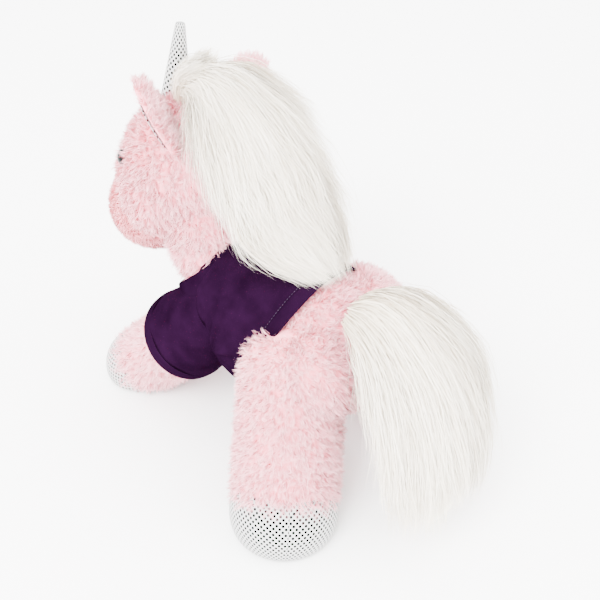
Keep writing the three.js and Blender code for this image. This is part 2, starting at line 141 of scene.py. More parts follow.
def fibre_material(name, stops, shades, roughness=0.75, sheen=0.3):
    """Fibre whose colour runs from root to tip of a strand, darker at the root as painted shade, and changes
    slightly from strand to strand.
    """
    m, tree, shader = material(name, "#ffffff", roughness, Sheen_Weight=sheen)
    uv = node(tree, "ShaderNodeUVMap", uv_map="OFBake").outputs["UV"]
    parts = node(tree, "ShaderNodeSeparateXYZ", {"Vector": uv}).outputs
    # painted shade: the colour of each strand is darker towards its root
    along = ramp(tree, parts["Y"], stops)
    shade = ramp(tree, parts["X"], shades)
    mix = node(tree, "ShaderNodeMix", data_type="RGBA", blend_type="MULTIPLY")
    mix.inputs[0].default_value = 1.0
    tree.links.new(along, mix.inputs[6])
    tree.links.new(shade, mix.inputs[7])
    tree.links.new(mix.outputs[2], shader.inputs["Base Color"])
    return m


# %% [markdown]
# The plush is pink fibre with painted shade at the root, deeper in colour where the pile shades it, and
# nearly white at the tip. The long hair is white with painted shade at its root, a cream colour there. Each
# has a plain backing cloth under it.

# %% Materials of the toy
# painted shade: each fibre's first colour stop, at the root, is its darkest
PLUSH = fibre_material("pink_plush_pile",
                       [(0, "#ea7486"), (0.3, "#f7a0ae"), (0.7, "#fdc3cb"), (1, "#ffdde1")],
                       [(0, "#f6e4e5"), (0.5, "#fdf6f5"), (1, "#ffffff")])
FACE_PLUSH = fibre_material("pink_short_pile", [(0, "#ea7f8a"), (0.5, "#f398a1"), (1, "#f8b4ba")],
                            [(0, "#f6e3e4"), (1, "#ffffff")])
# painted shade: the white hair is cream at its root
HAIR = fibre_material("white_long_hair",
                      [(0, "#ddc9b1"), (0.25, "#ece0cd"), (0.6, "#f6efe3"), (1, "#faf5eb")],
                      [(0, "#cfc8bd"), (0.35, "#ece8e0"), (1, "#ffffff")], 0.5, 0.2)
BACKING = material("pink_backing_cloth", "#ef8e9b", 0.95)[0]
HAIR_BASE = material("white_backing_fur", "#efece4", 0.9)[0]
# Injection-moulded plastic: nearly black, with a small hard highlight.
PLASTIC = material("black_safety_plastic", "#020202", 0.2, Specular_IOR_Level=0.12)[0]
# Rayon embroidery thread, packed close.
THREAD = material("pink_embroidery_thread", "#86213a", 0.6)[0]


def foil_material(name, pitch, dot):
    """Pale woven cloth with a staggered lattice of silver foil dots, coloured near-black as a painted
    reflection of the dark they mirror; the piece's UV map is in millimetres.
    """
    m, tree, shader = material(name, "#e9e9e7", 0.5, Metallic=0.15)
    uv = node(tree, "ShaderNodeUVMap", uv_map="Weave").outputs["UV"]
    nearest = []
    for shift in (0.0, 0.5):
        moved = node(tree, "ShaderNodeVectorMath", {0: uv}, operation="MULTIPLY_ADD")
        moved.inputs[1].default_value = (1 / pitch, 1 / pitch, 0)
        moved.inputs[2].default_value = (shift, shift, 0)
        cell = node(tree, "ShaderNodeVectorMath", {0: moved.outputs[0]}, operation="FRACTION")
        away = node(tree, "ShaderNodeVectorMath", {0: cell.outputs[0]}, operation="DISTANCE")
        away.inputs[1].default_value = (0.5, 0.5, 0)
        nearest.append(away.outputs["Value"])
    low = node(tree, "ShaderNodeMath", {0: nearest[0], 1: nearest[1]}, operation="MINIMUM")
    inside = node(tree, "ShaderNodeMapRange", {"Value": low.outputs[0]})
    inside.inputs["From Min"].default_value = dot / 2 / pitch + 0.03
    inside.inputs["From Max"].default_value = dot / 2 / pitch - 0.03
    # painted reflection: the silver foil dots are given a near-black colour, for the dark they mirror
    colour = ramp(tree, inside.outputs[0], [(0, "#b2b2b1"), (1, "#050506")])
    tree.links.new(colour, shader.inputs["Base Color"])
    tree.links.new(inside.outputs[0], shader.inputs["Metallic"])
    rough = node(tree, "ShaderNodeMapRange", {"Value": inside.outputs[0]})
    rough.inputs["To Min"].default_value = 0.55
    rough.inputs["To Max"].default_value = 0.3
    tree.links.new(rough.outputs[0], shader.inputs["Roughness"])
    return m


# the dots' near-black colour is a painted reflection
FOIL = foil_material("silver_foil_dot_cloth", 5.1, 2.4)


def jersey_material(name, dark, light):
    """Knitted jersey: fine ribs of loops about a millimetre apart, slightly faded where it is rubbed."""
    m, tree, shader = material(name, light, 0.92, Specular_IOR_Level=0.0)
    place = node(tree, "ShaderNodeTexCoord").outputs["Object"]
    patch = node(tree, "ShaderNodeTexNoise", {"Vector": place}, Scale=45.0, Detail=3.0)
    colour = ramp(tree, patch.outputs["Fac"], [(0.3, dark), (0.7, light)])
    tree.links.new(colour, shader.inputs["Base Color"])
    knit = node(tree, "ShaderNodeTexVoronoi", {"Vector": place}, Scale=900.0)
    bump = node(tree, "ShaderNodeBump", {"Height": knit.outputs["Distance"]}, Strength=0.35, Distance=0.0004)
    tree.links.new(bump.outputs["Normal"], shader.inputs["Normal"])
    return m


JERSEY = jersey_material("purple_cotton_jersey", "#0e0310", "#170619")
RIB = jersey_material("purple_rib_band", "#0c020e", "#140516")


# %% [markdown]
# Padded bodies are built from overlapping balls, as a soft sculptor adds wadding, then joined into one
# skin by a voxel remesh and smoothed. A limb is a chain of balls from joint to hoof.

# %% Body helpers
def ball(centre, radii, turn=None, frame_matrix=None, segments=32):
    """A stretched ball at a point in metres, with radii in millimetres."""
    bpy.ops.mesh.primitive_uv_sphere_add(segments=segments, ring_count=segments // 2, radius=1)
    o = bpy.context.object
    scale = Matrix.Diagonal((*[r * MM for r in radii], 1))
    spin = (turn or Euler()).to_matrix().to_4x4()
    place = Matrix.Translation(centre) @ (frame_matrix or Matrix()) @ spin @ scale
    o.data.transform(place)
    return o


def turned_to(direction):
    """A frame at the origin whose Z axis runs along a direction."""
    return direction.to_track_quat("Z", "Y").to_matrix().to_4x4()


def chain(points, radii, steps=9):
    """Balls along a line of points in metres, with radii in millimetres given at the same places."""
    made = []
    for i in range(len(points) - 1):
        for k in range(steps):
            t = k / steps
            r = radii[i] + (radii[i + 1] - radii[i]) * t
            made.append(ball(points[i].lerp(points[i + 1], t), (r, r, r), segments=24))
    made.append(ball(points[-1], (radii[-1],) * 3, segments=24))
    return made


def apply(o, kind, **settings):
    """Adds a modifier, sets it and applies it."""
    bpy.ops.object.select_all(action="DESELECT")
    bpy.context.view_layer.objects.active = o
    o.select_set(True)
    mod = o.modifiers.new(kind.title(), kind)
    for key, value in settings.items():
        setattr(mod, key, value)
    bpy.ops.object.modifier_apply(modifier=mod.name)
    return o


def one_skin(name, parts, voxel=2.6, rounds=12):
    """Joins balls into one closed, smooth skin."""
    bpy.ops.object.select_all(action="DESELECT")
    for o in parts:
        o.select_set(True)
    bpy.context.view_layer.objects.active = parts[0]
    if len(parts) > 1:
        bpy.ops.object.join()
    o = bpy.context.object
    o.name = o.data.name = name
    apply(o, "REMESH", mode="VOXEL", voxel_size=voxel * MM)
    apply(o, "SMOOTH", iterations=rounds, factor=0.5)
    bpy.ops.object.shade_smooth()
    return o


def finish_piece(o, matter, body, nodes=(), bend=None):
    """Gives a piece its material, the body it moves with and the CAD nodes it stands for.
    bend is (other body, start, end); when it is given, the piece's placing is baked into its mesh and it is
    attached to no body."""
    o.data.materials.clear()
    o.data.materials.append(matter)
    if bend:
        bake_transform(o)
    else:
        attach(o, body)
    if nodes:
        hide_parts(*nodes)
    return o


# %% [markdown]
# Pile and hair are real geometry: thin tapered blades in clumps, because fibres of plush cling together
# at the tips. Each blade carries a UV map that runs from root to tip, and across it a number of its own.

# %% Fibre helpers
def unit(v):
    return v / np.maximum(np.linalg.norm(v, axis=-1, keepdims=True), 1e-9)


def blades(name, spine, widths, across, seeds, facing):
    """One mesh of tapered blades. spine is (count, levels, 3) in metres, across the direction of their width.
    facing points out of the surface; shading leans to it, because soft fibre scatters light all round."""
    count, levels, _ = spine.shape
    run = unit(spine[:, -1] - spine[:, 0])
    across = np.where((np.cross(across, run) * facing).sum(1, keepdims=True) < 0, -across, across)
    shading = unit(unit(facing) + 0.45 * unit(np.cross(across, run)))
    half = widths[:, None, None] * np.linspace(1, 0.35, levels - 1)[None, :, None] * 0.5
    left = spine[:, :-1] - across[:, None] * half
    right = spine[:, :-1] + across[:, None] * half
    per = 2 * (levels - 1) + 1
    points = np.empty((count, per, 3))
    points[:, 0:-1:2] = left
    points[:, 1:-1:2] = right
    points[:, -1] = spine[:, -1]
    first = np.arange(count)[:, None] * per
    quads = []
    for k in range(levels - 2):
        quads.append(first + np.array([[2 * k, 2 * k + 1, 2 * k + 3, 2 * k + 2]]))
    tip = first + np.array([[per - 3, per - 2, per - 1]])
    loops = np.concatenate([*quads, tip], axis=1).reshape(-1)
    sizes = np.tile([4] * (levels - 2) + [3], count)
    starts = np.concatenate([[0], np.cumsum(sizes)[:-1]])
    mesh = bpy.data.meshes.new(name)
    mesh.vertices.add(count * per)
    mesh.vertices.foreach_set("co", points.reshape(-1))
    mesh.loops.add(len(loops))
    mesh.loops.foreach_set("vertex_index", loops.astype(np.int32))
    mesh.polygons.add(len(sizes))
    mesh.polygons.foreach_set("loop_start", starts.astype(np.int32))
    mesh.update(calc_edges=True)
    level_v = np.repeat(np.linspace(0, 1, levels)[:-1], 2)
    v = np.tile(np.concatenate([level_v, [1]]), (count, 1)) * 0.98 + 0.01
    side = np.tile(np.array([0.0, 1.0] * (levels - 1) + [0.5]), (count, 1))
    u = seeds[:, None] * 0.97 + 0.01 + side * 0.004
    uv = np.stack([u, v], axis=2).reshape(-1, 2)[loops]
    layer = mesh.uv_layers.new(name="OFBake")
    layer.data.foreach_set("uv", uv.reshape(-1))
    mesh.polygons.foreach_set("use_smooth", np.ones(len(sizes), bool))
    mesh.normals_split_custom_set_from_vertices(np.repeat(shading, per, 0))
    o = bpy.data.objects.new(name, mesh)
    bpy.context.scene.collection.objects.link(o)
    return o


def triangles_of(o):
    """Corner positions (count, 3, 3) of an object's triangles."""
    mesh = o.data
    mesh.calc_loop_triangles()
    corners = np.empty(len(mesh.loop_triangles) * 3, np.int32)
    mesh.loop_triangles.foreach_get("vertices", corners)
    points = np.empty(len(mesh.vertices) * 3)
    mesh.vertices.foreach_get("co", points)
    return points.reshape(-1, 3)[corners].reshape(-1, 3, 3)


def pile(name, skin, density, length, comb, keep=None, per=9, width=0.62, spread=2.6, lean=0.5, seed=1):
    """Plush pile on a skin: clumps per square millimetre; comb gives the lie at each point."""
    rng = np.random.default_rng(seed)
    tri = triangles_of(skin)
    normal = np.cross(tri[:, 1] - tri[:, 0], tri[:, 2] - tri[:, 0])
    area = np.linalg.norm(normal, axis=1) / 2
    clumps = int(area.sum() * 1e6 * density * (1))
    pick = rng.choice(len(tri), clumps, p=area / area.sum())
    a, b = rng.random((2, clumps))
    flip = a + b > 1
    a[flip], b[flip] = 1 - a[flip], 1 - b[flip]
    t = tri[pick]
    centre = t[:, 0] + (t[:, 1] - t[:, 0]) * a[:, None] + (t[:, 2] - t[:, 0]) * b[:, None]
    out = unit(normal[pick])
    if keep is not None:
        good = keep(centre, out)
        centre, out = centre[good], out[good]
    lie = comb(centre, out)
    lie = unit(lie - out * (lie * out).sum(1, keepdims=True))
    lie = unit(lie + rng.normal(0, 0.75, lie.shape))
    reach = length * MM * rng.uniform(0.75, 1.2, len(centre))
    lean = np.clip(lean + rng.normal(0, 0.16, (len(centre), 1)), 0.1, 0.8)
    tip = centre + (unit(out * (1 - lean) + lie * lean) * reach[:, None])
    n = len(centre)
    side = unit(np.cross(out, lie) + 1e-9)
    turn = rng.random((n, per)) * 2 * np.pi
    far = np.sqrt(rng.random((n, per))) * spread * MM
    offset = (np.cos(turn) * far)[..., None] * side[:, None] + (np.sin(turn) * far)[..., None] * lie[:, None]
    root = centre[:, None] + offset - out[:, None] * 0.6 * MM
    end = tip[:, None] + offset * 0.3 + rng.normal(0, 0.5 * MM, (n, per, 3))
    bend = root * 0.45 + end * 0.55 + out[:, None] * (reach * 0.16)[:, None, None]
    spine = np.stack([root, bend, end], axis=2).reshape(-1, 3, 3)
    spine[..., 2] = np.maximum(spine[..., 2], 0.0008)
    count = len(spine)
    direction = unit(spine[:, 2] - spine[:, 0])
    across = unit(np.cross(direction, rng.normal(0, 1, (count, 3))))
    widths = np.full(count, width * MM) * rng.uniform(0.7, 1.2, count)
    shade = np.clip(np.repeat(rng.random(n), per) * 0.7 + rng.random(count) * 0.3, 0, 1)
    made = blades(name, spine, widths, across, shade, np.repeat(out, per, 0))
    print(f"{name}: {3 * count} triangles, {count} blades of {length} mm in {n} clumps")
    return made


def curve_at(points, t):
    """Points of a smooth curve through the given ones, at each t from 0 to 1."""
    p = np.array(points, float)
    p = np.vstack([2 * p[0] - p[1], p, 2 * p[-1] - p[-2]])
    place = np.clip(t, 0, 0.9999) * (len(points) - 1)
    k = place.astype(int)
    f = (place - k)[..., None]
    a, b, c, d = p[k], p[k + 1], p[k + 2], p[k + 3]
    return 0.5 * (2 * b + (c - a) * f + (2 * a - 5 * b + 4 * c - d) * f**2 + (3 * b - a - 3 * c + d) * f**3)


def value_at(values, t):
    return np.interp(t, np.linspace(0, 1, len(values)), values)


def frames_at(points, t, sideways):
    """Position, side and outward directions along a curve, in metres."""
    here = curve_at(points, t)
    ahead = curve_at(points, np.minimum(t + 0.01, 0.9999)) - curve_at(points, np.maximum(t - 0.01, 0))
    tangent = unit(ahead)
    s = np.array(sideways, float)
    side = unit(s - tangent * (tangent @ s)[..., None])
    return here * MM, side, unit(np.cross(tangent, side))


def hair(name, path, widths, depths, locks, per, length=(0.7, 1.0), start=(0.0, 0.25), levels=8, blade=1.0,
         wave=3.0, gather=0.35, seed=1, sideways=(1, 0, 0), inner=0.35, fray=5.0, rise=(0.8, 1.15)):
    """Long hair that runs along a path and fills its width and depth, in locks that gather at their tips."""
    rng = np.random.default_rng(seed)
    path = [(x, y + BACK, z) for x, y, z in path]
    locks = int(locks * (1))
    angle = rng.random(locks) * 2 * np.pi
    far = np.sqrt(rng.uniform(inner**2, 1, locks))
    centre = np.stack([np.cos(angle) * far, np.sin(angle) * far], 1)
    t0 = rng.uniform(*start, locks)
    t1 = np.minimum(t0 + rng.uniform(*length, locks), rng.uniform(0.9, 1.0, locks))
    phase = rng.random((locks, 2)) * 2 * np.pi
    s = np.linspace(0, 1, levels)
    n = locks * per
    own = np.repeat(centre, per, 0)[:, None]
    own = own + rng.normal(0, 0.16, (n, 1, 2)) * (1 - gather * s[None, :, None] * 2)
    a0 = np.repeat(t0, per) + rng.uniform(-0.05, 0.05, n)
    a1 = np.repeat(t1, per) + rng.uniform(-0.06, 0.03, n)
    t = np.clip(a0[:, None] + (a1 - a0)[:, None] * s, 0, 0.999)
    here, side, out = frames_at(path, t, sideways)
    own = own * (rise[0] + (rise[1] - rise[0]) * s)[None, :, None]
    ph = np.repeat(phase, per, 0)
    sway = np.sin(t * 9 + ph[:, :1]) * wave * MM * s
    lift = np.sin(t * 7 + ph[:, 1:]) * wave * 0.6 * MM * s
    w = value_at(widths, t) * MM
    d = value_at(depths, t) * MM
    loose = rng.normal(0, fray * 0.2 * MM, (n, 1, 3)) * (s**2)[None, :, None]
    spine = here + side * (own[..., 0] * w + sway)[..., None]
    spine = spine + out * (own[..., 1] * d + lift)[..., None] + loose
    spine[..., 2] = np.maximum(spine[..., 2], 0.0012)
    direction = unit(spine[:, -1] - spine[:, 0])
    around = unit(side.mean(1) * own[:, 0, :1] + out.mean(1) * own[:, 0, 1:])
    across = unit(np.cross(direction, around) + rng.normal(0, 0.35, (n, 3)))
    seeds = np.clip(np.repeat(rng.random(locks), per) * 0.6 + rng.random(n) * 0.4, 0, 1)
    made = blades(name, spine, np.full(n, blade * MM) * rng.uniform(0.6, 1.2, n), across, seeds, around)
    print(f"{name}: {n} hairs in {locks} locks")
    return made


def hair_base(name, path, widths, depths, shrink=0.72):
    """The closed, soft mass under long hair, a little inside its surface."""
    parts = []
    path = [(x, y + BACK, z) for x, y, z in path]
    steps = np.linspace(0.03, 0.94, 22)
    here, side, out = frames_at(path, steps, (1, 0, 0))
    for k, t in enumerate(steps):
        round_off = min(1, (1 - abs(2 * t - 1) ** 4) ** 0.5 + 0.15)
        w, d = value_at(widths, t) * shrink * round_off, value_at(depths, t) * shrink * round_off
        turn = Matrix((side[k], np.cross(out[k], side[k]), out[k])).transposed().to_4x4()
        parts.append(ball(Vector(here[k]), (w, max(8, d), d), frame_matrix=turn, segments=20))
    return one_skin(name, parts, 3.2, 8)


# %% [markdown]
# ## Legs
# A leg is a stuffed tube of plush, sewn into the body, with a padded hoof of foil-dotted cloth and a flat
# sole.

# %% Legs and hooves
def nearest_axis(points, a, b):
    """How far along the line from a to b each point is, in metres, and its distance from the line."""
    a, b = np.array(a), np.array(b)
    d = (b - a) / np.linalg.norm(b - a)
    along = (points - a) @ d
    return along, np.linalg.norm(points - a - along[:, None] * d, axis=1)


def weave_uv(o, axis, centre, radius):
    """A UV map in millimetres that wraps round an axis, for a pattern on cloth."""
    mesh = o.data
    layer = mesh.uv_layers.new(name="Weave")
    mesh.uv_layers.active = layer
    ref = axis.orthogonal().normalized()
    other = axis.cross(ref)
    for poly in mesh.polygons:
        mid = math.atan2((poly.center - centre).dot(other), (poly.center - centre).dot(ref))
        for loop in poly.loop_indices:
            p = mesh.vertices[mesh.loops[loop].vertex_index].co - centre
            angle = math.atan2(p.dot(other), p.dot(ref))
            angle += 2 * math.pi * round((mid - angle) / (2 * math.pi))
            lat = math.atan2(p.dot(axis), math.hypot(p.dot(ref), p.dot(other)))
            layer.data[loop].uv = (angle * radius, lat * radius)


def above_floor(o, gap, soft=6.5):
    """Presses a padded piece flat on the floor: what is low comes up to a gap in millimetres, softly."""
    co = np.empty(len(o.data.vertices) * 3)
    o.data.vertices.foreach_get("co", co)
    co = co.reshape(-1, 3)
    edge = (gap + soft * 0.7) * MM
    over = np.exp(np.minimum(co[:, 2] - edge, 0) / (soft * MM))
    co[:, 2] = np.where(co[:, 2] < edge, gap * MM + (edge - gap * MM) * over, co[:, 2])
    o.data.vertices.foreach_set("co", co.reshape(-1))
    o.data.update()


def build_leg(name, hip, sole, ball_radius, radius, hoof, crown):
    body = name + "_leg"
    top, foot = at(hip), at(sole)
    axis = (foot - top).normalized()
    length = (foot - top).length
    knee = top.lerp(foot, 0.5)
    ankle = foot - axis * ((crown - 12) * MM)
    skin = one_skin(name + "_leg_padding", chain([top, knee, ankle - axis * 0.006, ankle + axis * 0.012],
                                                 [ball_radius, radius, radius, radius * 0.8]))
    above_floor(skin, 5.0)
    finish_piece(skin, BACKING, body, [name + "_leg_skin", name + "_leg_fill"])
    out = at((0, -10, 122))

    def lie(points, normals):
        down = np.tile(np.array(axis), (len(points), 1))
        return down + np.array([0, 0, -0.3])

    end = length - (crown - 16) * MM

    def covered(points, normals):
        along, _ = nearest_axis(points, top, foot)
        return (along < end) & (along > (0.3 * length if "front" in name else -0.03))

    fur = pile(name + "_leg_fur", skin, 0.19, PILE, lie, covered, seed=sum(map(ord, name)))
    finish_piece(fur, PLUSH, body)

    centre = foot - axis * (hoof * 0.40 * MM)
    pad = ball(centre, (hoof * 1.02, hoof * 1.02, hoof), frame_matrix=turned_to(axis), segments=64)
    above_floor(pad, 1.0)
    pad.name = pad.data.name = name + "_hoof"
    bpy.ops.object.shade_smooth()
    weave_uv(pad, axis, centre, hoof)
    finish_piece(pad, FOIL, body, [name + "_hoof_wall", name + "_hoof_sole"])
    return skin, fur, pad


for name, leg in LEGS.items():
    build_leg(name, leg["hip"], leg["sole"], leg["ball"], leg["radius"], leg["hoof"], leg["crown"])

# %% [markdown]
# ## Body
# The body is a plump barrel between the shoulders and the hips. The shirt hides its front half, where the
# pile is pressed flat, so only the hips and the rump carry standing pile.

# %% Torso
RUMP, CHEST = at((0, 84, 108)), at((0, -106, 128))
torso_axis = (CHEST - RUMP).normalized()
spots = [RUMP + torso_axis * (d * MM) for d in (46, 72, 104, 140)]
torso = one_skin("torso_padding", chain(spots, [51, 59, 60, 50]) + [
    ball(at((40, 42, 118)), (40, 42, 42)), ball(at((-40, 42, 118)), (40, 42, 42))], 3.0, 16)
finish_piece(torso, BACKING, "torso", ["torso_skin", "torso_fill"])
HEM_TILT = math.radians(22)
HEM_AT = at((0, -11, 120))
HEM_NORMAL = Vector((0, math.cos(HEM_TILT), -math.sin(HEM_TILT)))


def bare(points, normals):
    """Where the shirt doesn't cover the body: behind the hem."""
    return (points - np.array(HEM_AT)) @ np.array(HEM_NORMAL) > -0.006


for word, side in (("left", 1), ("right", -1)):
    torso_fur = pile("torso_fur_" + word, torso, 0.19, PILE,
                     lambda p, n: np.tile([0, 0.9, -0.5], (len(p), 1)) + n * [0.5, 0, 0],
                     lambda p, n: bare(p, n) & (p[:, 0] * side >= 0), seed=7 + side)
    finish_piece(torso_fur, PLUSH, "torso")

# %% [markdown]
# ## Head
# The head is a round cranium with a long soft muzzle. The front of the muzzle is a separate panel with a
# short pile.

# %% Head
turn4 = HEAD_TURN.to_matrix().to_4x4()
head_parts = [
    ball(on_head((0, -12, 60)), (58, 60, 57), frame_matrix=turn4),
    ball(on_head((0, -38, 42)), (51, 54, 50), frame_matrix=turn4),
    ball(on_head((0, -64, 14)), (45, 50, 42), Euler((math.radians(40), 0, 0)), turn4),
    ball(on_head((34, -22, 34)), (26, 30, 30), frame_matrix=turn4),
    ball(on_head((-34, -22, 34)), (26, 30, 30), frame_matrix=turn4),
    ball(on_head((0, 6, 14)), (40, 40, 40), frame_matrix=turn4),
]
head = one_skin("head_padding", head_parts, 2.6, 14)
finish_piece(head, BACKING, "head", ["head_skin", "head_fill", "face_skin"])
FACE_AT, FACE_NORMAL = (0, -50, 29), Vector((0, -0.9, -0.44)).normalized()
to_head = np.array(HEAD.inverted())


def in_head(points):
    """Frame points in metres as head points in millimetres."""
    return (points @ to_head[:3, :3].T + to_head[:3, 3]) / MM


def is_face(points):
    return (in_head(points) - np.array(FACE_AT)) @ np.array(FACE_NORMAL) > 0


head_tree = BVHTree.FromObject(head, bpy.context.evaluated_depsgraph_get())


def head_surface(target):
    """The point on the head's skin nearest to a head point in millimetres, and the normal there."""
    spot, normal, _, _ = head_tree.find_nearest(on_head(target))
    return spot, normal


# %% [markdown]
# The eyes are moulded black plastic: a dome with a thin flange that grips the plush. The nostrils and
# mouth are satin stitch, which stands up as a smooth ridge. Each is set on the head's own surface, found
# by the nearest point, so it lies flat however the muzzle curves, and the places are kept so that no pile
# grows over them.

# %% Eyes, nostrils and mouth
features = []  # each is a place to leave clear of pile, and how far round it in metres
for word, side in (("left", 1), ("right", -1)):
    spot, normal = head_surface((38 * side, -44, 65))
    features.append((spot, 0.0078))
    facing = turned_to(normal)
    dome = ball(spot + normal * 0.0030, (7.2, 7.2, 5.2), frame_matrix=facing, segments=48)
    flange = ball(spot + normal * 0.0026, (8.2, 8.2, 1.3), frame_matrix=facing, segments=48)
    one_skin("safety_eye_" + word, [dome, flange], 0.45, 3)
    eye = bpy.context.object
    finish_piece(eye, PLASTIC, "head", ["eye_" + word])
    spot, normal = head_surface((15 * side, -112, -8))
    features.append((spot, 0.0060))
    tilt = turned_to(normal)
    nostril = ball(spot + normal * 0.0042, (2.8, 6.0, 1.8), frame_matrix=tilt)
    nostril.name = nostril.data.name = "embroidered_nostril_" + word
    finish_piece(nostril, THREAD, "head", ["nostril_" + word])
stitches = []
for k in range(13):
    share = k / 6 - 1
    spot, normal = head_surface((17 * share, -108 + 4 * share * share, -36 + 7 * share * share))
    features.append((spot, 0.0042))
    stitches.append(ball(spot + normal * 0.0040, (2.2, 2.2, 2.2), segments=12))
smile = one_skin("embroidered_mouth", stitches, 0.9, 3)
finish_piece(smile, THREAD, "head", ["mouth"])


# %% [markdown]
# Behind each eye a moulded nylon washer snaps on the shank and locks it. It is right in the CAD, so it
# only gets its material: cloudy, slightly rough nylon, with the faint flow marks of moulding.

# %% Eye washers
WASHER, washer_tree, washer_shader = material("moulded_nylon_washer", "#dcdad2", 0.45,
                                              Transmission_Weight=0.3)
flow = node(washer_tree, "ShaderNodeTexNoise",
            {"Vector": node(washer_tree, "ShaderNodeTexCoord").outputs["Object"]}, Scale=400.0, Detail=2.0)
washer_tree.links.new(ramp(washer_tree, flow.outputs["Fac"], [(0.3, "#d3d1c8"), (0.7, "#e4e2da")]),
                      washer_shader.inputs["Base Color"])
for word in ("left", "right"):
    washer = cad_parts["eye_washer_" + word]
    for slot in washer.material_slots:
        slot.material = WASHER

# %% [markdown]
# A maker trims the pile round an eye or a row of stitches. Here a tuft isn't planted there in the first
# place.

# %% Where the pile is left clear
def clear_of_features(points):
    """True where a tuft would not cover an eye, a nostril or the mouth."""
    open_skin = np.ones(len(points), bool)
    for spot, reach in features:
        open_skin &= np.linalg.norm(points - np.array(spot), axis=1) > reach
    return open_skin


# %% [markdown]
# The head's pile lies back and down, as it is brushed. The face panel is a separate cloth with a shorter
# pile, so it is planted on its own, with finer and closer tufts.

# %% Head pile
back_of_head = np.array(HEAD_TURN.to_matrix() @ Vector((0, 0.75, -0.65)))
for word, side in (("left", 1), ("right", -1)):
    head_fur = pile("head_fur_" + word, head, 0.19, PILE, lambda p, n: np.tile(back_of_head, (len(p), 1)),
                    lambda p, n: ~is_face(p) & (in_head(p)[:, 0] * side >= 0) & clear_of_features(p),
                    seed=11 + side)
    finish_piece(head_fur, PLUSH, "head")
face_fur = pile("face_fur", head, 0.3, 4.2, lambda p, n: np.tile(back_of_head, (len(p), 1)),
                lambda p, n: is_face(p) & clear_of_features(p), width=0.8, spread=1.9, seed=12)
finish_piece(face_fur, FACE_PLUSH, "head")
# %% [markdown]
# The neck is a short stuffed tube between the body and the head.

# %% Neck
neck = one_skin("neck_padding", chain([at((0, -72, 146)), at((0, -98, 172))], [38, 38]), 3.0, 8)
finish_piece(neck, BACKING, "neck", ["neck_skin", "neck_fill"])
neck_fur = pile("neck_fur", neck, 0.12, PILE, lambda p, n: np.tile([0, 0.3, -1.0], (len(p), 1)),
                lambda p, n: (p - np.array(at((0, -84, 158)))) @ np.array([0, -0.71, 0.71]) > 0, seed=13)
finish_piece(neck_fur, PLUSH, "neck")

# %% [markdown]
# ## Horn and ears
# The horn is a slim stuffed cone of foil-dotted cloth. Each ear is a flat leaf with plush on its back and
# the same foil cloth as its lining.

# %% Horn
def cone_uv(o, axis, foot, radius):
    """A UV map in millimetres for cloth rolled round an axis: round it in u, along it in v."""
    layer = o.data.uv_layers.new(name="Weave")
    o.data.uv_layers.active = layer
    ref = axis.orthogonal().normalized()
    other = axis.cross(ref)
    for poly in o.data.polygons:
        middle = poly.center - foot
        mid = math.atan2(middle.dot(other), middle.dot(ref))
        for loop in poly.loop_indices:
            p = o.data.vertices[o.data.loops[loop].vertex_index].co - foot
            angle = math.atan2(p.dot(other), p.dot(ref))
            angle += 2 * math.pi * round((mid - angle) / (2 * math.pi))
            layer.data[loop].uv = (angle * radius, p.dot(axis) / MM)


lean = math.radians(-12)
horn_axis = HEAD_TURN.to_matrix() @ Vector((0, -math.sin(lean), math.cos(lean)))
base = on_head((0, -32, 107))
bpy.ops.mesh.primitive_cone_add(vertices=40, radius1=15 * MM, radius2=4.2 * MM, depth=78 * MM,
                                end_fill_type="TRIFAN")
horn = bpy.context.object
horn.name = horn.data.name = "foil_horn"
horn.data.transform(Matrix.Translation(base + horn_axis * 0.033) @ turned_to(horn_axis))
apply(horn, "REMESH", mode="VOXEL", voxel_size=1.2 * MM)
apply(horn, "SMOOTH", iterations=14, factor=0.5)
bpy.ops.object.shade_smooth()
cone_uv(horn, horn_axis, base, 10)
finish_piece(horn, FOIL, "head", ["horn_skin", "horn_fill"])

# %% [markdown]
# An ear is two leaves of cloth sewn round the edge and turned out, so it is thin and soft-edged. It could
# be cut from a flat shape, but overlapping flattened balls give the plump rim of a real one.

